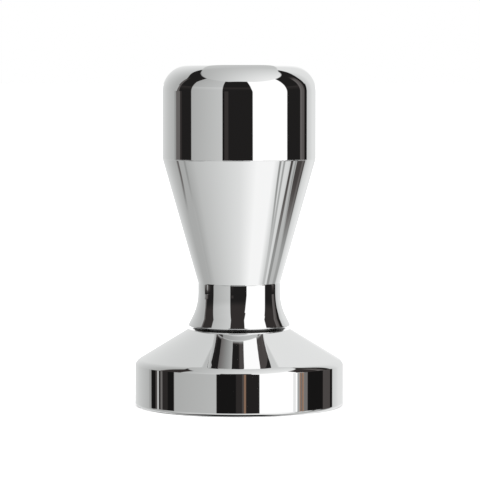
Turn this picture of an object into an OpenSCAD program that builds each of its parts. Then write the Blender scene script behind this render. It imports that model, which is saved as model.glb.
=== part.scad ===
// Espresso tamper: a solid base with a flat tamping face, and a polished handle that unscrews from it.
// The handle is a stack of three turned sections, clamped by a double-ended stud whose lower end holds the base.
// Millimetres, +Z up. The origin is the centre of the tamping face, which rests on z = 0.

/* [Base] */
// Diameter of the wall, which fits the filter basket
base_d = 58; // [54:0.5:60]
// Height from the tamping face to the seat under the handle
base_h = 21.5; // [21:0.1:26]
// Height where the wall and the shoulder cone would meet at a sharp corner
shoulder_h = 12.2; // [9:0.1:14]
// Radius of the corner between the wall and the shoulder cone
shoulder_r = 2.3; // [0.5:0.1:3]
// Radius of the edge around the tamping face
face_edge_r = 0.95; // [0.3:0.05:1.5]

/* [Ferrule] */
// Diameter of the lip at the ferrule's foot
lip_d = 28.3; // [27:0.1:30.6]
// Diameter of the waist, the thinnest part of the handle
waist_d = 22.9; // [22.4:0.1:25]
// Height from the foot to the grip's lower end
ferrule_h = 12; // [11:0.1:16]
// Slope of the flare at the foot, in degrees from upright
flare_angle = 26.5; // [18:0.5:33]
// Radius of the curve between the waist and the sloping foot
flare_r = 15; // [5:0.5:24]

/* [Grip] */
// Height of the tapered grip
grip_h = 34.5; // [30:0.1:45]

/* [Cap] */
// Diameter of the cap, which is also the grip's upper diameter
cap_d = 42.6; // [36:0.2:46]
// Height of the cap above the grip
cap_h = 26; // [23:0.2:32]
// Radius of the cap's upper corner
cap_corner_r = 7.3; // [2:0.1:10]

/* [Stud thread] */
// Thread pitch of the M8 stud
thread_pitch = 1.25; // [1, 1.25]
// Turns that the base is screwed onto the stud
thread_turns = 8; // [6:1:8]

/* [Seal] */
// Thickness of the ring between the base and the ferrule
seal_t = 0.6; // [0.3:0.1:1.2]

/* [Hidden] */
$fn = 96;

polished = "gainsboro";
plated = "silver";
nitrile = "black";

overcut = 1;            // how far a cutting shape runs past the surface it cuts
edge_break = 0.12;      // chamfer on each side of a joint line
rim_r = 0.2;            // radius of the rim where the shoulder cone ends
bead_r = 0.3;           // radius of the rounded lip at the ferrule's foot
boss_h = 0.2;           // height of the boss that carries the seal ring
seam_depth = 1.65;      // how far the boss stands in from the lip

// Heights of the joint planes, from the tamping face up
foot_z = base_h + seal_t;
waist_z = foot_z + ferrule_h;
crown_z = waist_z + grip_h;
top_z = crown_z + cap_h;

base_r = base_d / 2;
lip_r = lip_d / 2;
waist_r = waist_d / 2;
cap_r = cap_d / 2;

// The flare's outline before its corners are rounded: up the slope from the lip to the upright waist.
// The lip's corner stands out further than its rounding does.
lip_corner_r = lip_r + bead_r / tan((90 - flare_angle) / 2) - bead_r;
flare_corner = [waist_r, foot_z + (lip_corner_r - waist_r) / tan(flare_angle)];

// M8 stud and its holes
thread_r = 4;
thread_play = 0.05;     // radial gap between the stud and a tapped hole
clear_hole_r = 4.25;
shank_r = 3.55;
engaged = thread_pitch * thread_turns;
stud_end_z = base_h - engaged;
hole_floor_gap = 2.5;   // free depth below the stud in the base
cap_hole_gap = 1;       // free depth above the stud in the cap
cap_thread_h = 20;      // length of stud inside the cap and its spigot
thread_chamfer = 0.6;
key_socket_af = 4;      // across the flats of the hex key socket in the stud's lower end
key_socket_depth = 4;
drill_point_angle = 118;

// Clamp hardware, in the pocket under the ferrule
pocket_r = 9;
pocket_h = 8.2;
pocket_roof_z = foot_z + pocket_h;
washer_r = 8;
washer_t = 1.6;
spring_washer_r = 7.4;
spring_washer_t = 2;
spring_washer_gap = 1.6;
washer_hole_r = 4.2;
nut_af = 13;            // across the flats
nut_h = 4;

// Spigots that centre one section on the next, each with a sealing ring in a groove
spigot_play = 0.05;
spigot_end_gap = 0.2;
neck_spigot_r = 8.5;
neck_spigot_h = 3.2;
cap_spigot_r = 14;
cap_spigot_h = 4;
ring_section_r = 0.7;
groove_depth = 1.4;
groove_w = 1.8;

boss_r = lip_r - seam_depth;
seal_inset = 0.1;       // how far the seal ring stands in from the boss
seal_inner_r = 9.6;
seal_outer_r = boss_r - seal_inset;

function unit(v) = v / norm(v);

// Distance from a hexagon's centre to its corners, from its size across the flats
function hex_corner_r(af) = af / 2 / cos(30);

// The wedge between a corner and its rounding, taken off an outer corner or added to an inner one.
// c is the corner, p and n are outline points before and after it.
module corner_wedge(p, c, n, r) {
    u = unit(p - c);
    v = unit(n - c);
    half_angle = acos(u * v) / 2;
    reach = r / tan(half_angle);
    centre = c + unit(u + v) * r / sin(half_angle);
    difference() {
        polygon([c + u * reach, c - (u + v) * overcut, c + v * reach, centre]);
        translate(centre) circle(r);
    }
}

// A bar along Z whose two ends are chamfered
module chamfered_bar(r, z0, z1, chamfer) {
    rotate_extrude()
        polygon([
            [0, z0], [r - chamfer, z0], [r, z0 + chamfer],
            [r, z1 - chamfer], [r - chamfer, z1], [0, z1]
        ]);
}

// A flat ring along Z
module flat_ring(inner, outer, z0, h) {
    translate([0, 0, z0])
        difference() {
            cylinder(r = outer, h = h);
            translate([0, 0, -overcut]) cylinder(r = inner, h = h + 2 * overcut);
        }
}

// A hole drilled from z_mouth towards z_end, with the drill's cone at its end; up is 1 or -1
module drilled_hole(r, z_mouth, z_end, up) {
    length = abs(z_end - z_mouth);
    point_h = r / tan(drill_point_angle / 2);
    translate([0, 0, z_mouth]) mirror([0, 0, up > 0 ? 0 : 1]) {
        translate([0, 0, -overcut]) cylinder(r = r, h = length + overcut);
        translate([0, 0, length]) cylinder(r1 = r, r2 = 0, h = point_h);
    }
}

// The 45 degree countersink at a hole's mouth
module countersink(r, depth, z_mouth, up) {
    translate([0, 0, z_mouth]) mirror([0, 0, up > 0 ? 0 : 1])
        translate([0, 0, -depth]) cylinder(r1 = r + 2 * depth, r2 = r, h = 2 * depth);
}

// The groove for a sealing ring around a spigot
module ring_groove(spigot_r, z_middle) {
    translate([0, 0, z_middle - groove_w / 2])
        difference() {
            cylinder(r = spigot_r + overcut, h = groove_w);
            translate([0, 0, -overcut]) cylinder(r = spigot_r - groove_depth, h = groove_w + 2 * overcut);
        }
}

module sealing_ring(spigot_r, z_middle) {
    translate([0, 0, z_middle])
        rotate_extrude() translate([spigot_r - groove_depth / 2 + spigot_play / 2, 0]) circle(ring_section_r);
}

// Solid puck: flat face, upright wall, shoulder cone, and a boss tapped for the stud
module tamping_base() {
    face_middle = [0, 0];
    face_corner = [base_r, 0];
    shoulder = [base_r, shoulder_h];
    rim = [lip_r, base_h - boss_h];
    boss_foot = [boss_r, base_h - boss_h];
    boss_top = [boss_r, base_h - edge_break];
    color(polished)
        difference() {
            rotate_extrude()
                difference() {
                    polygon([
                        face_middle, face_corner, shoulder, rim, boss_foot, boss_top,
                        [boss_r - edge_break, base_h], [0, base_h]
                    ]);
                    corner_wedge(face_middle, face_corner, shoulder, face_edge_r);
                    corner_wedge(face_corner, shoulder, rim, shoulder_r);
                    corner_wedge(shoulder, rim, boss_foot, rim_r);
                }
            drilled_hole(thread_r + thread_play, base_h, stud_end_z - hole_floor_gap, -1);
            countersink(thread_r + thread_play, thread_chamfer, base_h, -1);
        }
}

// Nitrile ring squeezed in the seam between base and ferrule
module base_seal_ring() {
    color(nitrile) flat_ring(seal_inner_r, seal_outer_r, base_h, seal_t);
}

// Flared collar, with the spigot that centres the grip and the pocket that hides the nut
module neck_ferrule() {
    foot_middle = [0, foot_z];
    lip = [lip_corner_r, foot_z];
    waist_top = [waist_r, waist_z - edge_break];
    color(plated)
        difference() {
            union() {
                rotate_extrude() {
                    difference() {
                        polygon([
                            foot_middle, lip, flare_corner, waist_top, [waist_r - edge_break, waist_z], [0, waist_z]
                        ]);
                        corner_wedge(foot_middle, lip, flare_corner, bead_r);
                    }
                    corner_wedge(lip, flare_corner, waist_top, flare_r, $fn = 240);
                }
                translate([0, 0, waist_z - overcut]) cylinder(r = neck_spigot_r, h = neck_spigot_h + overcut);
            }
            ring_groove(neck_spigot_r, waist_z + neck_spigot_h / 2);
            translate([0, 0, foot_z - overcut]) cylinder(r = pocket_r, h = pocket_h + overcut);
            translate([0, 0, foot_z]) cylinder(r = clear_hole_r, h = ferrule_h + neck_spigot_h + overcut);
        }
}

module neck_o_ring() {
    color(nitrile) sealing_ring(neck_spigot_r, waist_z + neck_spigot_h / 2);
}

// Tapered sleeve, counterbored at both ends for the spigots
module grip_cone() {
    slope = (cap_r - waist_r) / grip_h;
    color(plated)
        difference() {
            rotate_extrude()
                polygon([
                    [0, waist_z], [waist_r - edge_break, waist_z],
                    [waist_r + slope * edge_break, waist_z + edge_break],
                    [cap_r - slope * edge_break, crown_z - edge_break],
                    [cap_r - edge_break, crown_z], [0, crown_z]
                ]);
            translate([0, 0, waist_z - overcut])
                cylinder(r = neck_spigot_r + spigot_play, h = neck_spigot_h + spigot_end_gap + overcut);
            translate([0, 0, crown_z - cap_spigot_h - spigot_end_gap])
                cylinder(r = cap_spigot_r + spigot_play, h = cap_spigot_h + spigot_end_gap + overcut);
            translate([0, 0, waist_z]) cylinder(r = clear_hole_r, h = grip_h);
        }
}

module cap_o_ring() {
    color(nitrile) sealing_ring(cap_spigot_r, crown_z - cap_spigot_h / 2);
}

// Solid knob with a rounded upper corner, tapped from below for the stud
module top_cap() {
    top_corner = [cap_r, top_z];
    top_middle = [0, top_z];
    spigot_foot = crown_z - cap_spigot_h;
    color(plated)
        difference() {
            union() {
                rotate_extrude()
                    difference() {
                        polygon([
                            [0, crown_z], [cap_r - edge_break, crown_z], [cap_r, crown_z + edge_break],
                            top_corner, top_middle
                        ]);
                        corner_wedge([cap_r, crown_z], top_corner, top_middle, cap_corner_r);
                    }
                translate([0, 0, spigot_foot]) cylinder(r = cap_spigot_r, h = cap_spigot_h + overcut);
            }
            ring_groove(cap_spigot_r, crown_z - cap_spigot_h / 2);
            drilled_hole(thread_r + thread_play, spigot_foot, spigot_foot + cap_thread_h + cap_hole_gap, 1);
            countersink(thread_r + thread_play, thread_chamfer, spigot_foot, 1);
        }
}

// Double-ended M8 stud: it ties the handle's sections together and its lower end carries the base
module tie_stud() {
    lower_thread_top = waist_z;
    upper_thread_foot = crown_z - cap_spigot_h;
    stud_top_z = upper_thread_foot + cap_thread_h;
    color("dimgray")
        difference() {
            union() {
                chamfered_bar(thread_r, stud_end_z, lower_thread_top, thread_chamfer);
                chamfered_bar(thread_r, upper_thread_foot, stud_top_z, thread_chamfer);
                translate([0, 0, lower_thread_top - overcut])
                    cylinder(r = shank_r, h = upper_thread_foot - lower_thread_top + 2 * overcut);
            }
            translate([0, 0, stud_end_z - overcut])
                cylinder(r = hex_corner_r(key_socket_af), h = key_socket_depth + overcut, $fn = 6);
        }
}

module plain_washer() {
    color("lightgray") flat_ring(washer_hole_r, washer_r, pocket_roof_z - washer_t, washer_t);
}

// Spring washer, drawn flat as it is under a tight nut, with the slit that makes it a spring
module lock_washer() {
    z0 = pocket_roof_z - washer_t - spring_washer_t;
    color("darkgray")
        difference() {
            flat_ring(washer_hole_r, spring_washer_r, z0, spring_washer_t);
            translate([0, -spring_washer_gap / 2, z0 - overcut])
                cube([spring_washer_r + overcut, spring_washer_gap, spring_washer_t + 2 * overcut]);
        }
}

// Thin hex nut, chamfered at both ends
module clamp_nut() {
    z0 = pocket_roof_z - washer_t - spring_washer_t - nut_h;
    corner_r = hex_corner_r(nut_af);
    color("lightgray")
        difference() {
            intersection() {
                translate([0, 0, z0]) cylinder(r = corner_r, h = nut_h, $fn = 6);
                chamfered_bar(corner_r, z0, z0 + nut_h, corner_r - nut_af / 2);
            }
            translate([0, 0, z0 - overcut]) cylinder(r = thread_r + thread_play, h = nut_h + 2 * overcut);
        }
}

tamping_base();
base_seal_ring();
neck_ferrule();
neck_o_ring();
grip_cone();
cap_o_ring();
top_cap();
tie_stud();
plain_washer();
lock_washer();
clamp_nut();
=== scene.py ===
import math

import bmesh
import bpy
import numpy as np
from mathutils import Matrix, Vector


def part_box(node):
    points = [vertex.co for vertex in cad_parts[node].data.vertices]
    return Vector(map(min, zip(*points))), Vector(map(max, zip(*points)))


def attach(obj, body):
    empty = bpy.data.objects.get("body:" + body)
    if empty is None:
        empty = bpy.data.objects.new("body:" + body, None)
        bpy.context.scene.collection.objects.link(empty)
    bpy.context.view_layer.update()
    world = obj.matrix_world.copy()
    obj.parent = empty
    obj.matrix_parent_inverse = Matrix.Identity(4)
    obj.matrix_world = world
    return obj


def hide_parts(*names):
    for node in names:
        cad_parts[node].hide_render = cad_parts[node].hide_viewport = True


# Espresso tamper: mirror-polished turned metal, standing on a pale floor in a soft studio.
# Metres throughout; the tamper's axis is Z, and z = 0 is its tamping face.

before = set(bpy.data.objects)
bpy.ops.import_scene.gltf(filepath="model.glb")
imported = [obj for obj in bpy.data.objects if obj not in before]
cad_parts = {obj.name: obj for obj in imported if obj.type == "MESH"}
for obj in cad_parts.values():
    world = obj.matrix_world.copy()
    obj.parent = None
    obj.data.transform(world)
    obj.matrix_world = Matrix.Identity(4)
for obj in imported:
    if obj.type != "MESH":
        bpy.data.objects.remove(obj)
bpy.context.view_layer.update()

MM = 0.001
TURN = 2 * math.pi
ROUND_STEPS = 288       # facets round each turned piece
ARC_STEP = math.radians(3)
CREASE = math.radians(20)       # corners sharper than this stay sharp in the shading
WELD = 1e-7             # points closer than this are one point
SIXTH = math.pi / 3     # one side of a hexagon
NUT_TURN = SIXTH / 2    # the nut has a corner towards +X

BASE_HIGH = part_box("tamping_base")[1]
SEAL_LOW, SEAL_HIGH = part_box("base_seal_ring")
FERRULE_LOW, FERRULE_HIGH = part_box("neck_ferrule")
GRIP_LOW, GRIP_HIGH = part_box("grip_cone")
CAP_LOW, CAP_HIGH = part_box("top_cap")
STUD_LOW, STUD_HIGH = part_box("tie_stud")
NECK_RING_LOW, NECK_RING_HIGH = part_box("neck_o_ring")
CAP_RING_LOW, CAP_RING_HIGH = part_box("cap_o_ring")
PLAIN_LOW, PLAIN_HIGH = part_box("plain_washer")
LOCK_LOW, LOCK_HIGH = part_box("lock_washer")
NUT_LOW, NUT_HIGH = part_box("clamp_nut")

SEAT_Z = BASE_HIGH.z
FOOT_Z = FERRULE_LOW.z
WAIST_Z = GRIP_LOW.z
CROWN_Z = GRIP_HIGH.z
TOP_Z = CAP_HIGH.z

BASE_R = BASE_HIGH.x
LIP_R = FERRULE_HIGH.x
CAP_R = CAP_HIGH.x
SEAL_R = SEAL_HIGH.x
WAIST_R = 11.45 * MM

EDGE_BREAK = 0.12 * MM      # small bevel on each side of a joint line
SHOULDER_Z = 12.2 * MM      # where the wall and the sloping shoulder would meet
BEVEL_LOW = 11.5 * MM       # the bevel between them
BEVEL_TILT = math.radians(26)
BEVEL_R = 3.5 * MM          # its upper end rolls over into the shoulder
BEVEL_EDGE_R = 0.15 * MM    # its lower edge is nearly sharp
FACE_EDGE_R = 0.95 * MM     # the edge round the tamping face
RIM_R = 0.2 * MM            # the rim where the shoulder ends, under the ferrule's lip
BOSS_H = 0.2 * MM           # the low boss that carries the seal ring
BOSS_R = SEAL_R + 0.1 * MM
BEAD_R = 0.3 * MM           # the ferrule's rounded lip
FLARE_R = 15 * MM           # the curve from the waist to the ferrule's sloping foot
FLARE_ANGLE = math.radians(26.5)
CAP_CORNER_R = 7.3 * MM
GRIP_SLOPE = math.sin(math.atan2(CAP_R - WAIST_R, CROWN_Z - WAIST_Z))

PITCH = 1.25 * MM           # M8 stud
THREAD_R = 4.0 * MM
THREAD_DEPTH = 0.6134 * PITCH
TAPPED_R = 4.05 * MM
CLEAR_R = 4.25 * MM
WASHER_BORE_R = 4.2 * MM
COUNTERSINK = 0.6 * MM
DRILL_POINT = math.tan(math.radians(118 / 2))
GROOVE_DEPTH = 1.4 * MM     # grooves for the O-rings, and the room above and below each ring
GROOVE_ROOM = 0.2 * MM


# ---------------------------------------------------------------- turned shapes

class Outline:
    """Half-section of a turned piece, as points (radius, height)."""

    def __init__(self):
        self.points = []
        self.curved = []        # whether the step that starts at each point is part of an arc

    def add(self, r, z, curved=False):
        self.points.append((r, z))
        self.curved.append(curved)

    def arc(self, centre, radius, start, end):
        """Points along an arc; the last one starts whatever comes next."""
        steps = max(2, math.ceil(abs(end - start) / ARC_STEP))
        for i in range(steps + 1):
            a = start + (end - start) * i / steps
            self.add(centre[0] + radius * math.cos(a), centre[1] + radius * math.sin(a), i < steps)


def rounded(corners):
    """An outline through corners of (radius, height, corner radius)."""
    out = Outline()
    count = len(corners)
    for i, (r, z, fillet) in enumerate(corners):
        if fillet == 0:
            out.add(r, z)
            continue
        corner = Vector((r, z))
        back = (Vector(corners[i - 1][:2]) - corner).normalized()
        ahead = (Vector(corners[(i + 1) % count][:2]) - corner).normalized()
        half = back.angle(ahead) / 2
        centre = corner + (back + ahead).normalized() * fillet / math.sin(half)
        first = corner + back * fillet / math.tan(half) - centre
        last = corner + ahead * fillet / math.tan(half) - centre
        start = math.atan2(first.y, first.x)
        sweep = (math.atan2(last.y, last.x) - start + math.pi) % TURN - math.pi
        out.arc(centre, fillet, start, start + sweep)
    return out


def step_normals(out, closed):
    """The outward normal at the start and end of each step, exact where an arc meets a straight."""
    points = np.array(out.points)
    count = len(points)
    steps = count if closed else count - 1
    runs = np.roll(points, -1, axis=0)[:steps] - points[:steps]
    facing = np.stack([runs[:, 1], -runs[:, 0]], axis=1)
    facing /= np.linalg.norm(facing, axis=1)[:, None]
    start, end = facing.copy(), facing.copy()
    for i in range(steps):
        j = (i + 1) % steps if closed else i + 1
        if j >= steps or facing[i] @ facing[j] < math.cos(CREASE):
            continue
        if out.curved[i] == out.curved[j]:
            shared = facing[i] + facing[j]
            shared /= np.linalg.norm(shared)
        else:
            shared = facing[j] if out.curved[i] else facing[i]
        end[i], start[j] = shared, shared
    return start, end


def lathe(name, out, closed=True):
    """A solid of revolution. An outline that isn't closed starts and ends on the axis."""
    steps = ROUND_STEPS
    angles = np.arange(steps) * TURN / steps
    verts, rings = [], []
    for r, z in out.points:
        if r < WELD:
            rings.append([len(verts)] * steps)
            verts.append((0, 0, z))
            continue
        rings.append(list(range(len(verts), len(verts) + steps)))
        verts.extend(polar(r, a, z) for a in angles)
    starts, ends = step_normals(out, closed)
    faces, normals = [], []
    for k in range(len(starts)):
        low, high = rings[k], rings[(k + 1) % len(rings)]
        for j in range(steps):
            n = (j + 1) % steps
            corners = [
                (low[j], j, starts[k]),
                (low[n], j + 1, starts[k]),
                (high[n], j + 1, ends[k]),
                (high[j], j, ends[k]),
            ]
            if low[j] == low[n]:
                corners.pop(0)
            if high[j] == high[n]:
                corners.pop()
            faces.append([c[0] for c in corners])
            for _, place, normal in corners:
                normals.append(polar(normal[0], place * TURN / steps, normal[1]))
    mesh = bpy.data.meshes.new(name)
    mesh.from_pydata(verts, [], faces)
    mesh.shade_smooth()
    mesh.normals_split_custom_set(normals)
    mesh.update()
    return new_object(name, mesh)


def skin(name, rows, closed=True, crease=CREASE):
    """A skin over rows of points that each run round the axis; joined end to end if closed."""
    count = len(rows[0])
    verts = [tuple(point) for row in rows for point in row]
    spans = len(rows) if closed else len(rows) - 1
    faces = []
    for k in range(spans):
        low, high = k * count, (k + 1) % len(rows) * count
        for j in range(count):
            n = (j + 1) % count
            faces.append((low + j, low + n, high + n, high + j))
    shell = bmesh.new()
    made = [shell.verts.new(v) for v in verts]
    for face in faces:
        shell.faces.new([made[i] for i in face])
    bmesh.ops.remove_doubles(shell, verts=shell.verts, dist=WELD)
    bmesh.ops.dissolve_degenerate(shell, edges=shell.edges, dist=WELD)
    return finished(name, shell, crease)


def finished(name, shell, crease=CREASE):
    """An object from a bmesh, shaded smooth but for its sharp corners."""
    mesh = bpy.data.meshes.new(name)
    shell.to_mesh(mesh)
    shell.free()
    mesh.shade_smooth()
    mesh.set_sharp_from_angle(angle=crease)
    return new_object(name, mesh)


def polar(r, a, z):
    """A point at a radius, an angle and a height."""
    return (r * math.cos(a), r * math.sin(a), z)


def new_object(name, mesh):
    obj = bpy.data.objects.new(name, mesh)
    bpy.context.scene.collection.objects.link(obj)
    return obj


def stand_for(obj, node, body, material):
    """Puts a finished piece in place of its CAD node."""
    obj.data.materials.append(material)
    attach(obj, body)
    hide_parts(node)


# ---------------------------------------------------------------- shader arithmetic

class Wire:
    """A number in a node tree. Arithmetic on it adds Math nodes."""

    def __init__(self, tree, socket):
        self.tree, self.socket = tree, socket

    def math(self, operation, *others):
        node = self.tree.nodes.new("ShaderNodeMath")
        node.operation = operation
        for i, value in enumerate((self, *others)):
            plug(self.tree, value, node.inputs[i])
        return Wire(self.tree, node.outputs[0])

    def __add__(self, other):
        return self.math("ADD", other)

    def __sub__(self, other):
        return self.math("SUBTRACT", other)

    def __mul__(self, other):
        return self.math("MULTIPLY", other)

    def __truediv__(self, other):
        return self.math("DIVIDE", other)

    def rise(self, edge, soft):
        """0 below an edge and 1 above it, over a soft width."""
        return self.between(edge, soft, 0, 1)

    def fall(self, edge, soft):
        """1 below an edge and 0 above it."""
        return self.between(edge, soft, 1, 0)

    def between(self, edge, soft, low, high):
        node = self.tree.nodes.new("ShaderNodeMapRange")
        node.interpolation_type = "SMOOTHSTEP"
        plug(self.tree, self, node.inputs["Value"])
        plug(self.tree, edge - soft / 2, node.inputs["From Min"])
        plug(self.tree, edge + soft / 2, node.inputs["From Max"])
        node.inputs["To Min"].default_value = low
        node.inputs["To Max"].default_value = high
        return Wire(self.tree, node.outputs["Result"])


def plug(tree, value, target):
    """Joins a wire to an input, or sets the input to a plain value."""
    if isinstance(value, Wire):
        tree.links.new(value.socket, target)
    else:
        target.default_value = value


def blend(tree, under, over, mask):
    """under where mask is 0, over where it is 1."""
    node = tree.nodes.new("ShaderNodeMix")
    node.data_type = "FLOAT"
    plug(tree, mask, node.inputs["Factor"])
    plug(tree, under, node.inputs["A"])
    plug(tree, over, node.inputs["B"])
    return Wire(tree, node.outputs["Result"])


def ramp(tree, value, low, high, stops):
    """A grey ramp over value from low to high; stops are (place, grey), in order."""
    scaled = tree.nodes.new("ShaderNodeMapRange")
    plug(tree, value, scaled.inputs["Value"])
    scaled.inputs["From Min"].default_value = low
    scaled.inputs["From Max"].default_value = high
    node = tree.nodes.new("ShaderNodeValToRGB")
    tree.links.new(scaled.outputs["Result"], node.inputs["Fac"])
    elements = node.color_ramp.elements
    for place, _ in stops[1:-1]:
        elements.new((place - low) / (high - low))
    for element, (place, grey) in zip(elements, stops):
        element.position = (place - low) / (high - low)
        element.color = (grey, grey, grey, 1)
    return Wire(tree, node.outputs["Color"])


def noise(tree, vector, scale, detail):
    """Noise in 0 to 1 over a vector socket."""
    node = tree.nodes.new("ShaderNodeTexNoise")
    node.inputs["Scale"].default_value = scale
    node.inputs["Detail"].default_value = detail
    tree.links.new(vector, node.inputs["Vector"])
    return Wire(tree, node.outputs["Fac"])


def combine(tree, x, y, z):
    node = tree.nodes.new("ShaderNodeCombineXYZ")
    for i, value in enumerate((x, y, z)):
        plug(tree, value, node.inputs[i])
    return node.outputs[0]


def separate(tree, vector):
    node = tree.nodes.new("ShaderNodeSeparateXYZ")
    tree.links.new(vector, node.inputs[0])
    return [Wire(tree, node.outputs[i]) for i in range(3)]


# ---------------------------------------------------------------- studio

# The studio is only there to be mirrored. It is fitted to the photograph's reflections as the camera sees
# them, and isn't fully physical: some tones depend on the part of the tamper that a mirrored ray left.
# Directions are a bearing and a tilt above the horizon, in degrees. Bearing 0 is towards the camera, and +
# is to its right. Tones are display greys from 0 to 1.

POLISH = 0.955          # share of light that the polish sends back

BLACK = 0.14            # velvet between the softboxes
NECK_BLACK = 0.205      # the same velvet as the neck sees it
SHOULDER_BLACK = 0.29   # and as the right of the shoulder sees it
NECK_GREY = 0.62        # the soft shade under the neck
LOW_BLACK = 0.11        # the same velvet near the floor
GREY = 0.79             # the grey softbox on the left
REAR_WALL = (-9, 6)     # tilt where the floor meets the rear walls, and how softly
CARD_FOOT = (-9, 2)     # tilt where the cards and drapes meet the floor
WALL_TOP = (36, 14)     # tilt where the strips of the walls end
WALL_FOOT = (-4.4, 0.3)     # tilt where they begin
HIGH_TILT = (1.5, 1.5)  # tilt above which the left drape is folded in
LOW_BAND = (-4.47, -4.2)    # tilts between which a gap in the left drape shows; its foot shows it too
STAND_TILT = (-5.4, 0.6)    # tilt below which the feet of the stands show
NECK_TILT = (12, 16)    # tilt from which only the neck looks at the walls below the drapes' tops

# Edges of the drapes and cards at eye level, and the tilts from which they lean back
DRAPE_LEFT = -112.5
DRAPE_RIGHT = 122
GREY_LEFT = -76.5
GREY_RIGHT = -24.8
WHITE_LEFT = 19.9
WHITE_RIGHT = 76.5
DRAPE_LEFT_LEAN = 32
DRAPE_RIGHT_LEAN = 26
GREY_LEAN = 30

# Folds and stands that catch some light: bearings, tone, and whether they are brown
WALL_STRIPS = [
    (-113.5, -109, 0.58, False),
    (-109, -99.5, 0.39, False),
    (-99.5, -95.5, 0.20, False),
    (-24.5, -23, 0.08, False),
    (-22, -16, 0.22, False),
]
HIGH_STRIPS = [
    (-105.5, -101.5, 0.36, False),
]
RIGHT_STRIPS = [
    (104, 109, 0.38, False),
    (109, 114, 0.35, False),
    (114, 117, 0.24, False),
    (117, 120.5, 0.08, False),
]
FOLDS = [
    (-118, -113.5, 0.60, False),
    (-105.5, -102.5, 0.30, False),
    (-102.5, -99.5, 0.74, False),
    (-99.5, -97, 0.16, False),
    (-97, -93.5, 0.42, False),
    (-93.5, -85.5, 0.18, False),
]
STAND_FEET = [
    (-3.5, 3, 0.19, False),
    (3, 5, 0.29, False),
    (5, 7.5, 0.46, True),
    (8, 22, 0.15, False),
    (105.5, 120, 0.29, False),
]
CARD_EDGE = [
    (61.5, 65, 0.89, False),
    (67, 70, 0.62, False),
    (70, 71.5, 0.45, True),
    (71.5, 73, 0.35, False),
    (73, 75.5, 0.46, True),
    (75.5, 81, 0.44, False),
]

# The pale floor by bearing, as the grip mirrors it: light at the rear, dim at the sides
FLOOR_LEFT = [(-180, 0.92), (-140, 0.75), (-118, 0.65), (-92, 0.65), (-75, 0.72), (0, 0.85)]
FLOOR_RIGHT = [
    (0, 0.85), (30, 0.95), (58, 0.95), (70, 0.83), (85, 0.83), (96, 0.70), (123, 0.71), (130, 0.82),
    (180, 1.0)
]
# Shadows across it: bearings and tone as the top of the grip mirrors them, then as its foot does
FLOOR_SHADOWS = [
    ((68, 71.5, 0.54), (73, 78, 0.73)),
    ((75.5, 79, 0.61), (76.5, 81.5, 0.71)),
    ((90, 94.5, 0.28), (88.5, 97.5, 0.56)),
    ((99, 101.5, 0.55), (109.5, 113, 0.68)),
    ((103, 123, 0.27), (112.5, 125, 0.61)),
    ((115, 120, 0.37), (116, 124, 0.60)),
]
GRIP_SPAN = (0.0441, 0.033)     # middle and width of that turn, as a downward slope of the lens's view
# The same, for the shadows that only the upper grip mirrors
UPPER_SHADOWS = [
    ((-115.5, -110, 0.58), (-121, -113, 0.66)),
    ((-113.5, -109.5, 0.39), (-119, -113, 0.65)),
    ((-98, -94, 0.57), (-98, -94, 0.66)),
]
UPPER_SPAN = (0.035, 0.015)
# The light walls behind the tamper
REAR_LEFT = [(-180, 1.0), (-173, 0.87), (-145, 0.77), (-112, 0.66), (0, 0.66)]
REAR_RIGHT = [(0, 0.76), (121, 0.76), (143, 0.86), (167, 0.87), (180, 1.0)]

DISPLAY_GAMMA = 2.2
WHITE_LEVEL = 1.03      # light of a white card, a little over display white
ROOM_LIGHT = 1.9        # plain light on whatever isn't polished
BROWN = (1.25, 0.75, 0.50)      # varnish of the stands
# Tints of display greys, from brownish velvet to faintly cool paper
TINTS = [
    (0.0, (1.0, 0.96, 0.95)),
    (0.13, (1.0, 0.95, 0.94)),
    (0.2, (1.0, 0.87, 0.84)),
    (0.4, (1.0, 0.94, 0.92)),
    (0.55, (0.985, 1.0, 0.985)),
    (0.8, (0.985, 1.0, 0.995)),
    (1.0, (1.0, 1.0, 1.0)),
]


def strip(value, low, high, soft=1.2):
    """1 between two edges, such as bearings or heights."""
    return value.rise(low, soft) * value.fall(high, soft)


def around(tree, bearing, left, right):
    """A tone by bearing, from one list for each side."""
    left_tone = ramp(tree, bearing, -180, 0, left)
    right_tone = ramp(tree, bearing, 0, 180, right)
    return blend(tree, left_tone, right_tone, bearing.rise(0, 1))


def add_strips(tree, tone, bearing, strips, level):
    """Lays strips over a tone; also gives back where the brown ones are."""
    brown = 0
    for left, right, grey, is_brown in strips:
        mask = strip(bearing, left, right) * level
        tone = blend(tree, tone, grey, mask)
        if is_brown:
            brown = mask + brown
    return tone, brown


def above(wire, edge):
    """Any amount by which a number is over an edge."""
    return (wire - edge).math("MAXIMUM", 0)


class Look:
    """What a mirrored ray is looking at.

    lean_tilt is the tilt to go by where a drape or card leans back. neck is 1 where the ray left the neck,
    shoulder where it left the shoulder by way of the grip, and crease where that was the grip's lower end.
    """

    def __init__(self, ray, tilt, lean_tilt, neck, shoulder, crease):
        x, y, _ = ray
        self.ray = ray
        self.bearing = x.math("ARCTAN2", y * -1) * math.degrees(1)
        self.tilt, self.lean_tilt = tilt, lean_tilt
        self.neck, self.shoulder, self.crease = neck, shoulder, crease
        self.standing = tilt.rise(*CARD_FOOT)
        self.stands = tilt.fall(*STAND_TILT)
        self.high = tilt.rise(*HIGH_TILT)


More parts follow.
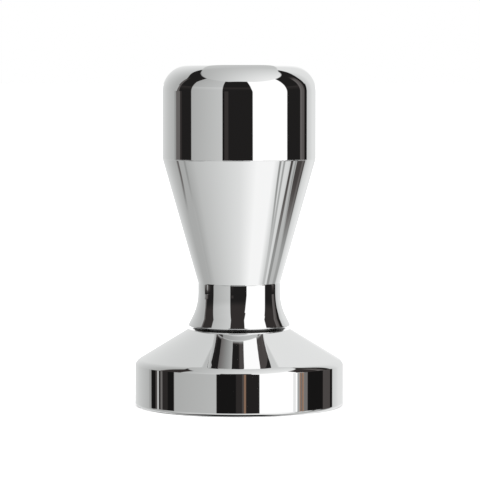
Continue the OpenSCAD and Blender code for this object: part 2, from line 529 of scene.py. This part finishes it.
def pale_floor(tree, look):
    """The floor round the tamper; its shadows turn and fade from the grip's top to its foot."""
    x, y, z = look.ray
    tone = around(tree, look.bearing, FLOOR_LEFT, FLOOR_RIGHT)
    # How steeply the lens looked down on the grip, worked back from the mirrored ray: it grows down the grip
    down = z * -1 - (y * -2 + 2).math("SQRT") * GRIP_SLOPE
    for shadows, span in ((FLOOR_SHADOWS, GRIP_SPAN), (UPPER_SHADOWS, UPPER_SPAN)):
        share = down.rise(*span)
        for top, foot in shadows:
            left, right, grey = [share * (b - a) + a for a, b in zip(top, foot)]
            tone = blend(tree, tone, grey, strip(look.bearing, left, right, 1.8))
    # Straight down, the base's lower edge mirrors the shadow at its own foot, paler at both sides
    nadir = strip(x, -0.50, 0.36, 0.2) * -0.65 + 0.75
    return blend(tree, tone, nadir, z.fall(-0.76, 0.10))


def velvet(look):
    """1 on the drapes, from the left rear, round the front, to the right rear; their ends lean back."""
    left_lean = above(look.lean_tilt, DRAPE_LEFT_LEAN)
    right_lean = above(look.lean_tilt, DRAPE_RIGHT_LEAN)
    left = (left_lean * left_lean) * -0.1 + look.high * 6 + look.neck * 3 - look.shoulder * 5
    left = left - look.stands * 2.6 + DRAPE_LEFT
    right = (right_lean * right_lean) * 0.035 + look.neck * 2.5 + look.stands * 3 + DRAPE_RIGHT
    return look.bearing.rise(left, 2.0) * look.bearing.fall(right, 1.6) * look.standing


def velvet_tone(tree, look):
    """The drapes' tone, as each part of the tamper mirrors it."""
    black = blend(tree, BLACK, LOW_BLACK, look.stands)
    black = blend(tree, black, NECK_BLACK, look.neck)
    black = blend(tree, black, SHOULDER_BLACK, look.shoulder * look.ray[0].rise(0, 0.1))
    return blend(tree, black, NECK_GREY, look.crease)


def grey_card(look):
    """Where the grey softbox stands on the left, and its tone, which falls off to the left and upwards."""
    tone = look.bearing * 0.0018 - look.tilt * 0.0004 + GREY + look.neck * 0.05
    tone = tone + look.shoulder * (look.bearing * 0.0035 + 0.02)
    tone = tone - look.stands * (look.bearing - GREY_LEFT) * 0.0009
    left = above(look.lean_tilt, GREY_LEAN) * 0.45 + GREY_LEFT
    return look.bearing.rise(left, 1.6) * look.bearing.fall(GREY_RIGHT, 1.2) * look.standing, tone


def white_card(look):
    """1 on the white softbox on the right, whose sides lean a little to the left."""
    left = look.tilt * -0.14 + look.stands * 1.2 + WHITE_LEFT
    right = look.tilt * -0.07 + WHITE_RIGHT
    return look.bearing.rise(left, 1.2) * look.bearing.fall(right, 1.4) * look.standing


def studio_light(tree, look):
    """The light that polished metal mirrors from a direction."""
    rear = around(tree, look.bearing, REAR_LEFT, REAR_RIGHT)
    tone = blend(tree, pale_floor(tree, look), rear, look.tilt.rise(*REAR_WALL))
    tone = blend(tree, tone, velvet_tone(tree, look), velvet(look))

    walls = look.tilt.rise(*WALL_FOOT) * look.tilt.fall(*WALL_TOP)
    gaps = strip(look.tilt, *LOW_BAND, 0.1) + look.stands
    for strips, level in (
        (WALL_STRIPS, walls * (look.high * -1 + 1)),
        (HIGH_STRIPS, walls * look.high),
        (RIGHT_STRIPS, walls),
        (FOLDS, gaps * look.standing),
    ):
        tone, _ = add_strips(tree, tone, look.bearing, strips, level)
    feet = look.stands * look.standing
    tone, brown = add_strips(tree, tone, look.bearing, STAND_FEET, feet)

    grey_mask, grey = grey_card(look)
    tone = blend(tree, tone, grey, grey_mask)
    tone = blend(tree, tone, 1.0, white_card(look))
    tone, edge_brown = add_strips(tree, tone, look.bearing, CARD_EDGE, feet)
    return tinted(tree, tone, brown + edge_brown)


def tinted(tree, tone, brown=0):
    """Turns a display grey into light, with the tint of its tone."""
    node = tree.nodes.new("ShaderNodeValToRGB")
    plug(tree, tone, node.inputs["Fac"])
    elements = node.color_ramp.elements
    for place, _ in TINTS[1:-1]:
        elements.new(place)
    for element, (place, colour) in zip(elements, TINTS):
        element.position = place
        element.color = (*colour, 1)
    colour = node.outputs["Color"]
    if isinstance(brown, Wire):
        mix = tree.nodes.new("ShaderNodeMix")
        mix.data_type = "RGBA"
        plug(tree, brown, mix.inputs["Factor"])
        tree.links.new(colour, mix.inputs[6])
        mix.inputs[7].default_value = (*BROWN, 1)
        colour = mix.outputs[2]
    scale = tree.nodes.new("ShaderNodeVectorMath")
    scale.operation = "SCALE"
    tree.links.new(colour, scale.inputs[0])
    plug(tree, tone.math("POWER", DISPLAY_GAMMA) * (WHITE_LEVEL / POLISH), scale.inputs["Scale"])
    return scale.outputs[0]


def light_world():
    """Even white light on the floor and the lens, and the studio's cards in anything polished."""
    world = bpy.data.worlds.new("soft_studio")
    bpy.context.scene.world = world
    world.use_nodes = True
    world.cycles.sampling_method = "NONE"
    tree = world.node_tree
    background = tree.nodes["Background"]
    x, y, z = separate(tree, tree.nodes.new("ShaderNodeTexCoord").outputs["Generated"])
    tilt = z.math("ARCSINE") * math.degrees(1)
    nowhere = x * 0
    look = Look((x, y, z), tilt, tilt.math("MINIMUM", 0), tilt.rise(*NECK_TILT), nowhere, nowhere)
    mirrored = studio_light(tree, look)
    path = tree.nodes.new("ShaderNodeLightPath")
    plain = blend(tree, ROOM_LIGHT, 1.0, Wire(tree, path.outputs["Is Camera Ray"]))
    glow = tree.nodes.new("ShaderNodeMix")
    glow.data_type = "RGBA"
    plug(tree, Wire(tree, path.outputs["Is Glossy Ray"]), glow.inputs["Factor"])
    tree.links.new(plain.socket, glow.inputs[6])
    tree.links.new(mirrored, glow.inputs[7])
    tree.links.new(glow.outputs[2], background.inputs["Color"])
    background.inputs["Strength"].default_value = 1.0


def reflection_only(obj, light, inside):
    """Makes a studio surface glow for polished metal alone, clear where inside is 0."""
    obj.visible_camera = False
    obj.visible_diffuse = False
    obj.visible_shadow = False
    tree = obj.data.materials[0].node_tree
    glow = tree.nodes.new("ShaderNodeEmission")
    tree.links.new(light, glow.inputs["Color"])
    output = tree.nodes.new("ShaderNodeOutputMaterial")
    clear = tree.nodes.new("ShaderNodeBsdfTransparent")
    mixed = tree.nodes.new("ShaderNodeMixShader")
    tree.links.new(inside.socket, mixed.inputs[0])
    tree.links.new(clear.outputs[0], mixed.inputs[1])
    tree.links.new(glow.outputs[0], mixed.inputs[2])
    tree.links.new(mixed.outputs[0], output.inputs["Surface"])


def ray_source_height(tree, place, ray):
    """Height of the point that a ray left."""
    length = Wire(tree, tree.nodes.new("ShaderNodeLightPath").outputs["Ray Length"])
    return place[2] - ray[2] * length


def ray_parts(tree):
    """The direction a ray travels in, as three numbers."""
    parts = separate(tree, tree.nodes.new("ShaderNodeNewGeometry").outputs["Incoming"])
    return [part * -1 for part in parts]


def empty_material(obj, name):
    material = bpy.data.materials.new(name)
    material.use_nodes = True
    material.node_tree.nodes.clear()
    obj.data.materials.append(material)
    return material.node_tree


KEY_BEARING = 65        # the brightest side of the overhead softbox
SOFTBOX_R = 0.150       # its round front, a little towards the camera; a long tail runs to the rear
SOFTBOX_AT = (0.0125, -0.060)
SOFTBOX_Z = 0.253
SOFTBOX_FRONT = -0.187  # straight front edge that cuts the disc
SOFTBOX_TAIL = 0.90     # how far the tail reaches
SOFTBOX_TONE = 0.775
REAR_TONE = 0.745       # its tone to the rear
UNDER_NECK = 0.11       # how much dimmer the shoulder sees it by way of the neck
DRAPE_R = 0.212         # the upper parts of the drapes and cards, round the tamper
DRAPE_FOOT = 0.150
DRAPE_TOP = 0.600
FOLD_R = 0.120          # where the drapes fold back
NECK_TOP = WAIST_Z - 0.2 * MM
NECK_PART = (WAIST_Z - 11 * MM, NECK_TOP)       # the part of the neck that the shoulder mirrors
GRIP_PART = (NECK_TOP, WAIST_Z + 20 * MM)       # and of the grip
CREASE_PART = (WAIST_Z + 0.9 * MM, 1.8 * MM)    # middle and width of its fade at the grip's lower end
PART_SOFT = 0.4 * MM
BEVEL_TOP = BEVEL_LOW + 1.55 * MM               # where the base's bevel ends
BEVEL_VIEW = 1.3        # how much wider the softbox stands for the base's bevel
CAP_EYE_Z = 0.091       # height from which the drapes' tilts are given


def in_softbox(x, y, from_z):
    """1 inside the outline of the overhead softbox: a disc, and a tail that narrows to the rear."""
    widen = from_z.fall(BEVEL_TOP, 0.2 * MM) * (1 / BEVEL_VIEW - 1) + 1
    x = x * widen
    y = y * widen
    from_x = x - SOFTBOX_AT[0]
    from_y = y - SOFTBOX_AT[1]
    reach = (from_x * from_x + from_y * from_y).math("SQRT")
    disc = reach.fall(SOFTBOX_R * 0.97, SOFTBOX_R * 0.06) * y.rise(SOFTBOX_FRONT, 0.004)
    # The further to the rear, the narrower the tail
    half_width = (x - 0.003).math("ABSOLUTE")
    tail = (half_width * (y + 0.12)).fall(0.0165, 0.0015) * y.rise(0.03, 0.02)
    return disc.math("MAXIMUM", tail)


def hang_softbox():
    """The overhead softbox, close enough to stand at a different tilt for each part of the tamper."""
    front = -2 * SOFTBOX_R
    bpy.ops.mesh.primitive_plane_add(size=1, location=(0, (front + SOFTBOX_TAIL) / 2, SOFTBOX_Z))
    softbox = bpy.context.object
    softbox.name = "overhead_softbox"
    softbox.scale = (3 * SOFTBOX_R, SOFTBOX_TAIL - front, 1)
    tree = empty_material(softbox, "softbox_glow")
    ray = ray_parts(tree)
    x, y, z = ray
    key = math.radians(KEY_BEARING)
    tone = (x * math.sin(key) - y * math.cos(key)) * 0.19 + SOFTBOX_TONE
    tone = blend(tree, tone, REAR_TONE, y.rise(0.6, 0.4))
    place = separate(tree, tree.nodes.new("ShaderNodeNewGeometry").outputs["Position"])
    from_z = ray_source_height(tree, place, ray)
    steep = z.rise(0.85, 0.1)
    tone = tone - strip(from_z, *NECK_PART, PART_SOFT) * steep * UNDER_NECK
    reflection_only(softbox, tinted(tree, tone), in_softbox(place[0], place[1], from_z))


def hang_drapes():
    """The tops of the drapes and cards, which also stand close."""
    bpy.ops.mesh.primitive_cylinder_add(
        vertices=128, radius=DRAPE_R, depth=DRAPE_TOP - DRAPE_FOOT, end_fill_type="NOTHING",
        location=(0, 0, (DRAPE_TOP + DRAPE_FOOT) / 2))
    drapes = bpy.context.object
    drapes.name = "drape_tops"
    tree = empty_material(drapes, "drape_glow")
    ray = ray_parts(tree)
    x, y, z = ray
    place = separate(tree, tree.nodes.new("ShaderNodeNewGeometry").outputs["Position"])
    rise = place[2] - CAP_EYE_Z
    slope = z / (x * x + y * y).math("SQRT")
    tilt = (rise / DRAPE_R).math("ARCTANGENT") * math.degrees(1)
    fold_rise = rise - slope * (DRAPE_R - FOLD_R)
    lean_tilt = (fold_rise / FOLD_R).math("ARCTANGENT") * math.degrees(1)
    from_z = ray_source_height(tree, place, ray)
    shoulder = strip(from_z, *GRIP_PART, PART_SOFT)
    neck = from_z.fall(NECK_TOP, PART_SOFT)
    look = Look(ray, tilt, lean_tilt, neck, shoulder, shoulder * from_z.fall(*CREASE_PART))
    ahead = (place[2] * -1 + SOFTBOX_Z) / z
    softbox = in_softbox(place[0] + x * ahead, place[1] + y * ahead, from_z)
    reflection_only(drapes, studio_light(tree, look), softbox * -1 + 1)


FLOOR_SIZE = 60         # metres, so that its edge is out of sight
PAINTED_SHADOW_SPAN = (-23 * MM, 12 * MM)      # where the painted contact shadow under the base shows, across the picture
CAMERA_ACROSS = 0.22 * MM
CAMERA_BACK = 0.7633
CAMERA_Z = 0.0915
AIM_Z = 0.0460
LENS = 206              # focal length in mm, on a sensor 36 mm wide


def lay_floor():
    """A wide pale floor that the lens sees, with a contact shadow painted dark round the base's foot. The
    mirror finish has its own floor tones, in pale_floor.
    """
    bpy.ops.mesh.primitive_plane_add(size=FLOOR_SIZE, location=(0, 0, 0))
    floor = bpy.context.object
    floor.name = "studio_floor"
    floor.visible_glossy = False
    material = bpy.data.materials.new("pale_floor")
    material.use_nodes = True
    tree = material.node_tree
    shader = tree.nodes["Principled BSDF"]
    place = tree.nodes.new("ShaderNodeTexCoord").outputs["Object"]
    x, y, _ = separate(tree, place)
    mottle = noise(tree, place, 40, 3) * 0.02 + 0.88
    distance = (x * x + y * y).math("SQRT")
    # painted contact shadow: the floor's colour is darkened to near black just round the base's edge
    painted_contact_shadow = distance.fall(BASE_R, 1.2 * MM) * strip(x, *PAINTED_SHADOW_SPAN, 6 * MM)
    shade = blend(tree, mottle, 0.02, painted_contact_shadow)
    tree.links.new(shade.socket, shader.inputs["Base Color"])
    shader.inputs["Roughness"].default_value = 0.8
    shader.inputs["Specular IOR Level"].default_value = 0.0
    floor.data.materials.append(material)


def place_camera():
    """A long lens at eye level with the cap, looking slightly down."""
    lens = bpy.data.cameras.new("camera")
    lens.sensor_width = 36
    lens.lens = LENS
    lens.clip_end = 100
    camera = bpy.data.objects.new("camera", lens)
    bpy.context.scene.collection.objects.link(camera)
    camera.location = (CAMERA_ACROSS, -CAMERA_BACK, CAMERA_Z)
    aim = Vector((CAMERA_ACROSS, 0, AIM_Z))
    camera.rotation_euler = (aim - camera.location).to_track_quat("-Z", "Y").to_euler()
    bpy.context.scene.camera = camera


# ---------------------------------------------------------------- materials

POLISHED = (POLISH, POLISH, POLISH)
SEAM_SHADE_COLOUR = (0.05, 0.047, 0.045)    # painted shade on the ledge under the neck, standing for the dark of the seal ring's gap
DULL_ROUGH = 0.35
MIRROR_LINES = 0.00001 * MM     # depth of the turning lines left in the polish
TURNED_LINES = 0.004 * MM       # and on pieces that are only turned or stamped


def axis_coordinates(tree):
    """Distance from the tamper's axis, bearing round it in turns, and height, all in metres or turns."""
    x, y, z = separate(tree, tree.nodes.new("ShaderNodeTexCoord").outputs["Object"])
    distance = ((x * x) + (y * y)).math("SQRT")
    round_it = y.math("ARCTAN2", x) * (1 / TURN)
    return distance, round_it, z


def metal(name, tint, rough_low, rough_high, line_depth, rough_and_shade_at=None):
    """Turned metal with fine lines round the axis; its last argument, given a distance and a height, is 1
    where the metal is rougher and its colour is painted with shade.
    """
    material = bpy.data.materials.new(name)
    material.use_nodes = True
    tree = material.node_tree
    shader = tree.nodes["Principled BSDF"]
    shader.inputs["Metallic"].default_value = 1.0
    distance, round_it, z = axis_coordinates(tree)
    cloud = noise(tree, tree.nodes.new("ShaderNodeTexCoord").outputs["Object"], 45, 3)
    rough = cloud * (rough_high - rough_low) + rough_low
    rough_and_shade = rough_and_shade_at(distance, z) if rough_and_shade_at else 0
    rough = blend(tree, rough, DULL_ROUGH, rough_and_shade)
    tree.links.new(rough.socket, shader.inputs["Roughness"])
    lines = noise(tree, combine(tree, distance, z, round_it * 0.0004), 9000, 2)
    tone = tree.nodes.new("ShaderNodeMix")
    tone.data_type = "RGBA"
    plug(tree, cloud, tone.inputs["Factor"])
    tone.inputs["A"].default_value = (*[c * 0.985 for c in tint], 1)
    tone.inputs["B"].default_value = (*tint, 1)
    # painted shade: where the mask is 1, the colour turns to the dark seam shade
    shaded = tree.nodes.new("ShaderNodeMix")
    shaded.data_type = "RGBA"
    plug(tree, rough_and_shade, shaded.inputs["Factor"])
    tree.links.new(tone.outputs[2], shaded.inputs[6])
    shaded.inputs[7].default_value = (*SEAM_SHADE_COLOUR, 1)
    tree.links.new(shaded.outputs[2], shader.inputs["Base Color"])
    bump = tree.nodes.new("ShaderNodeBump")
    bump.inputs["Strength"].default_value = 1.0
    bump.inputs["Distance"].default_value = line_depth
    tree.links.new(lines.socket, bump.inputs["Height"])
    tree.links.new(bump.outputs["Normal"], shader.inputs["Normal"])
    return material


def painted_seam_shade(distance, z):
    """The ledge under the neck round the seal ring: rougher, and its colour painted dark with the shade of
    the gap between base and ferrule.
    """
    return distance.fall(BOSS_R + 0.4 * MM, 0.3 * MM) * z.rise(SEAT_Z - BOSS_H - 0.05 * MM, 0.04 * MM)


def rubber(name):
    """Black nitrile: dark, slightly uneven, with a fine moulded grain."""
    material = bpy.data.materials.new(name)
    material.use_nodes = True
    tree = material.node_tree
    shader = tree.nodes["Principled BSDF"]
    place = tree.nodes.new("ShaderNodeTexCoord").outputs["Object"]
    cloud = noise(tree, place, 300, 3)
    shade = cloud * 0.012 + 0.012
    tree.links.new(shade.socket, shader.inputs["Base Color"])
    rough = cloud * 0.15 + 0.15
    shader.inputs["Specular IOR Level"].default_value = 0.9
    tree.links.new(rough.socket, shader.inputs["Roughness"])
    bump = tree.nodes.new("ShaderNodeBump")
    bump.inputs["Distance"].default_value = 0.01 * MM
    grain = noise(tree, place, 9000, 2)
    tree.links.new(grain.socket, bump.inputs["Height"])
    tree.links.new(bump.outputs["Normal"], shader.inputs["Normal"])
    return material


# ---------------------------------------------------------------- pieces

def tamping_base(material):
    """The heavy base: flat face, upright wall, bevel, sloping shoulder, and a boss with the tapped hole."""
    bore_floor = STUD_LOW.z - 2.5 * MM
    rim_z = SEAT_Z - BOSS_H
    slope = (rim_z - SHOULDER_Z) / (BASE_R - LIP_R)
    bevel_in = (SHOULDER_Z - BEVEL_LOW) / (1 / math.tan(BEVEL_TILT) - slope)
    out = rounded([
        (0, 0, 0),
        (BASE_R, 0, FACE_EDGE_R),
        (BASE_R, BEVEL_LOW, BEVEL_EDGE_R),
        (BASE_R - bevel_in, SHOULDER_Z + bevel_in * slope, BEVEL_R),
        (LIP_R, rim_z, RIM_R),
        (BOSS_R, rim_z, 0),
        (BOSS_R, SEAT_Z, EDGE_BREAK),
        (TAPPED_R + COUNTERSINK, SEAT_Z, 0),
        (TAPPED_R, SEAT_Z - COUNTERSINK, 0),
        (TAPPED_R, bore_floor, 0),
        (0, bore_floor - TAPPED_R / DRILL_POINT, 0),
    ])
    stand_for(lathe("base_body", out, closed=False), "tamping_base", "base", material)


def neck_ferrule(material):
    """A flared collar with a sloping foot, and a grooved spigot on top."""
    lip_corner_r = LIP_R + BEAD_R / math.tan((math.pi / 2 - FLARE_ANGLE) / 2) - BEAD_R
    flare_corner_z = FOOT_Z + (lip_corner_r - WAIST_R) / math.tan(FLARE_ANGLE)
    spigot_r, spigot_top = 8.5 * MM, FERRULE_HIGH.z
    groove_r = spigot_r - GROOVE_DEPTH
    groove_low, groove_high = NECK_RING_LOW.z - GROOVE_ROOM, NECK_RING_HIGH.z + GROOVE_ROOM
    pocket_r, pocket_roof = 9 * MM, PLAIN_HIGH.z
    out = rounded([
        (pocket_r, FOOT_Z, 0),
        (lip_corner_r, FOOT_Z, BEAD_R),
        (WAIST_R, flare_corner_z, FLARE_R),
        (WAIST_R, WAIST_Z - EDGE_BREAK, 0),
        (WAIST_R - EDGE_BREAK, WAIST_Z, 0),
        (spigot_r, WAIST_Z, 0),
        (spigot_r, groove_low, 0),
        (groove_r, groove_low, 0),
        (groove_r, groove_high, 0),
        (spigot_r, groove_high, 0),
        (spigot_r, spigot_top, 0),
        (CLEAR_R, spigot_top, 0),
        (CLEAR_R, pocket_roof, 0),
        (pocket_r, pocket_roof, 0),
    ])
    stand_for(lathe("ferrule_body", out), "neck_ferrule", "handle", material)


def grip_cone(material):
    """The tapered grip, bored through for the stud and counterbored at each end for a spigot."""
    slope = (CAP_R - WAIST_R) / (CROWN_Z - WAIST_Z)
    neck_bore, neck_depth = 8.55 * MM, 3.4 * MM
    cap_bore, cap_depth = 14.05 * MM, 4.2 * MM
    out = rounded([
        (neck_bore, WAIST_Z, 0),
        (WAIST_R - EDGE_BREAK, WAIST_Z, 0),
        (WAIST_R + slope * EDGE_BREAK, WAIST_Z + EDGE_BREAK, 0),
        (CAP_R - slope * EDGE_BREAK, CROWN_Z - EDGE_BREAK, 0),
        (CAP_R - EDGE_BREAK, CROWN_Z, 0),
        (cap_bore, CROWN_Z, 0),
        (cap_bore, CROWN_Z - cap_depth, 0),
        (CLEAR_R, CROWN_Z - cap_depth, 0),
        (CLEAR_R, WAIST_Z + neck_depth, 0),
        (neck_bore, WAIST_Z + neck_depth, 0),
    ])
    stand_for(lathe("grip_body", out), "grip_cone", "handle", material)


def top_cap(material):
    """The rounded cap, with a grooved spigot and a tapped hole under it."""
    spigot_r, spigot_foot = 14 * MM, CAP_LOW.z
    groove_r = spigot_r - GROOVE_DEPTH
    groove_low, groove_high = CAP_RING_LOW.z - GROOVE_ROOM, CAP_RING_HIGH.z + GROOVE_ROOM
    bore_roof = STUD_HIGH.z + 1 * MM
    out = rounded([
        (0, bore_roof + TAPPED_R / DRILL_POINT, 0),
        (TAPPED_R, bore_roof, 0),
        (TAPPED_R, spigot_foot + COUNTERSINK, 0),
        (TAPPED_R + COUNTERSINK, spigot_foot, 0),
        (spigot_r, spigot_foot, 0),
        (spigot_r, groove_low, 0),
        (groove_r, groove_low, 0),
        (groove_r, groove_high, 0),
        (spigot_r, groove_high, 0),
        (spigot_r, CROWN_Z, 0),
        (CAP_R - EDGE_BREAK, CROWN_Z, 0),
        (CAP_R, CROWN_Z + EDGE_BREAK, 0),
        (CAP_R, TOP_Z, CAP_CORNER_R),
        (0, TOP_Z, 0),
    ])
    stand_for(lathe("cap_body", out, closed=False), "top_cap", "handle", material)


def seal_ring(material):
    """The flat ring between the base and the ferrule, its edges slightly rounded by the squeeze."""
    inner, outer = 9.6 * MM, SEAL_HIGH.x
    soft = 0.12 * MM
    out = rounded([
        (inner, SEAL_LOW.z, soft),
        (outer, SEAL_LOW.z, soft),
        (outer, SEAL_HIGH.z, soft),
        (inner, SEAL_HIGH.z, soft),
    ])
    stand_for(lathe("seal_ring_body", out), "base_seal_ring", "seal", material)


def o_ring(name, node, low, high, material):
    """A moulded ring with the faint flash line left where the mould parted."""
    section_r = (high.z - low.z) / 2
    centre = Vector((high.x - section_r, (low.z + high.z) / 2))
    flash, flash_half = 0.03 * MM, 0.07
    out = Outline()
    steps = 48
    for i in range(steps):
        a = TURN * i / steps
        on_line = abs(math.sin(a)) < flash_half
        r = section_r - (0 if on_line else flash)
        out.add(centre.x + r * math.cos(a), centre.y + r * math.sin(a))
    stand_for(lathe(name, out), node, "handle", material)


def plain_washer(material):
    """Stamped: a rounded edge on the punch side and a sharp one on the die side."""
    inner, outer = WASHER_BORE_R, PLAIN_HIGH.x
    roll, burr = 0.35 * MM, 0.06 * MM
    out = rounded([
        (inner, PLAIN_LOW.z, roll),
        (outer, PLAIN_LOW.z, roll),
        (outer, PLAIN_HIGH.z, burr),
        (inner, PLAIN_HIGH.z, burr),
    ])
    stand_for(lathe("plain_washer_body", out), "plain_washer", "handle", material)


def lock_washer(material):
    """A split ring of square wire, with the cut at +X."""
    inner, outer = WASHER_BORE_R, -LOCK_LOW.x
    cut, soft = 1.6 * MM, 0.3 * MM
    out = rounded([
        (inner, LOCK_LOW.z, soft),
        (outer, LOCK_LOW.z, soft),
        (outer, LOCK_HIGH.z, soft),
        (inner, LOCK_HIGH.z, soft),
    ])
    columns = 144
    shell = bmesh.new()
    rings = []
    for r, z in out.points:
        gap = math.asin(cut / 2 / r)
        angles = [gap + (TURN - 2 * gap) * j / columns for j in range(columns + 1)]
        rings.append([shell.verts.new(polar(r, a, z)) for a in angles])
    count = len(rings)
    for k in range(count):
        low, high = rings[k], rings[(k + 1) % count]
        for j in range(columns):
            shell.faces.new((low[j], low[j + 1], high[j + 1], high[j]))
    shell.faces.new([ring[0] for ring in rings])
    shell.faces.new([ring[-1] for ring in reversed(rings)])
    stand_for(finished("lock_washer_body", shell), "lock_washer", "handle", material)


def hexagon(flat_r, a):
    """Radius of a hexagon at an angle from the middle of one of its flats."""
    return flat_r / math.cos((a + SIXTH / 2) % SIXTH - SIXTH / 2)


def clamp_nut(material):
    """A hexagon nut, its corners turned off at 30 degrees on both faces, with a countersunk hole."""
    flat_r = 6.5 * MM
    low, high = NUT_LOW.z, NUT_HIGH.z
    turned_r = flat_r * 0.95
    turned_slope = math.tan(math.radians(30))
    bevel_h = (hexagon(flat_r, SIXTH / 2) - turned_r) * turned_slope
    bevel_steps = 10
    columns = 192

    def row(z, r=None):
        """A ring at radius r, or on the outer wall where r isn't given."""
        points = []
        for j in range(columns):
            a = TURN * j / columns
            cone = turned_r + min(z - low, high - z) / turned_slope
            distance = r or min(hexagon(flat_r, a - NUT_TURN), cone)
            points.append(polar(distance, a, z))
        return points

    bevel = [bevel_h * i / bevel_steps for i in range(bevel_steps + 1)]
    sink = 0.3 * MM
    rows = [row(low, TAPPED_R + sink)]
    rows += [row(low + h) for h in bevel]
    rows += [row(high - h) for h in reversed(bevel)]
    rows += [row(high, TAPPED_R + sink), row(high - sink, TAPPED_R), row(low + sink, TAPPED_R)]
    stand_for(skin("clamp_nut_body", rows), "clamp_nut", "handle", material)


def thread_height(turns):
    """Height of a metric thread's profile, from 0 in the root to 1 on the crest, at a place in turns."""
    place = turns % 1
    crest, root = 1 / 8, 1 / 4
    flank = (1 - crest - root) / 2
    from_crest = abs(place - 0.5) - crest / 2
    return 1 - min(1, max(0, from_crest / flank))


def tie_stud(material):
    """Threaded at both ends, with a plain shank between and a hexagon socket in the lower end."""
    low, high = STUD_LOW.z, STUD_HIGH.z
    shank_r = 3.55 * MM
    chamfer = 0.6 * MM
    runs = ((low, WAIST_Z), (CAP_LOW.z, high))
    fade = 1.2 * PITCH
    columns = 96
    thread_step = PITCH / 16
    socket_flat, socket_deep = 2 * MM, 4 * MM
    socket_mouth = 0.2 * MM

    def radius(z, turns):
        cut = THREAD_R - THREAD_DEPTH * (1 - thread_height(turns))
        threaded = 0
        for start, end in runs:
            into = 1 if start == low else (z - start) / fade
            out_of = 1 if end == high else (end - z) / fade
            threaded = max(threaded, min(into, out_of, 1))
        r = shank_r + (cut - shank_r) * max(0, threaded)
        return min(r, THREAD_R - chamfer + (z - low), THREAD_R - chamfer + (high - z))

    def row(z, radius_at):
        return [polar(radius_at(j / columns), TURN * j / columns, z) for j in range(columns)]

    def ring(z):
        return row(z, lambda turns: radius(z, z / PITCH - turns))

    def socket(z, flat_r):
        return row(z, lambda turns: hexagon(flat_r, TURN * turns - SIXTH / 2))

    places = []
    at = low
    while at < high - thread_step / 2:
        places.append(at)
        in_shank = runs[0][1] < at < runs[1][0] - PITCH
        at += PITCH if in_shank else thread_step
    places.append(high)
    rows = [[(0, 0, low + socket_deep + socket_flat * 0.3)] * columns]
    rows += [socket(low + socket_deep, socket_flat), socket(low + socket_mouth, socket_flat)]
    rows += [socket(low, socket_flat * 1.1)]
    rows += [ring(at) for at in places]
    rows += [[(0, 0, high)] * columns]
    stud = skin("tie_stud_body", rows, closed=False, crease=math.radians(35))
    stand_for(stud, "tie_stud", "handle", material)


def build():
    handle_metal = metal("polished_handle", POLISHED, 0.0, 0.03, MIRROR_LINES)
    # the base's ledge round the seal ring is rougher and painted with shade
    base_metal = metal("polished_base", POLISHED, 0.0, 0.03, MIRROR_LINES, painted_seam_shade)
    steel = metal("plain_steel", (0.56, 0.55, 0.53), 0.18, 0.38, TURNED_LINES)
    zinc = metal("zinc_plate", (0.72, 0.74, 0.78), 0.20, 0.42, TURNED_LINES)
    phosphate = metal("dark_spring_steel", (0.10, 0.10, 0.11), 0.35, 0.55, TURNED_LINES)
    nitrile = rubber("black_nitrile")
    tamping_base(base_metal)
    seal_ring(nitrile)
    neck_ferrule(handle_metal)
    o_ring("neck_o_ring_body", "neck_o_ring", NECK_RING_LOW, NECK_RING_HIGH, nitrile)
    grip_cone(handle_metal)
    o_ring("cap_o_ring_body", "cap_o_ring", CAP_RING_LOW, CAP_RING_HIGH, nitrile)
    top_cap(handle_metal)
    tie_stud(steel)
    plain_washer(zinc)
    lock_washer(phosphate)
    clamp_nut(zinc)


bpy.context.scene.view_settings.view_transform = "Standard"
build()
light_world()
hang_softbox()
hang_drapes()
lay_floor()
place_camera()
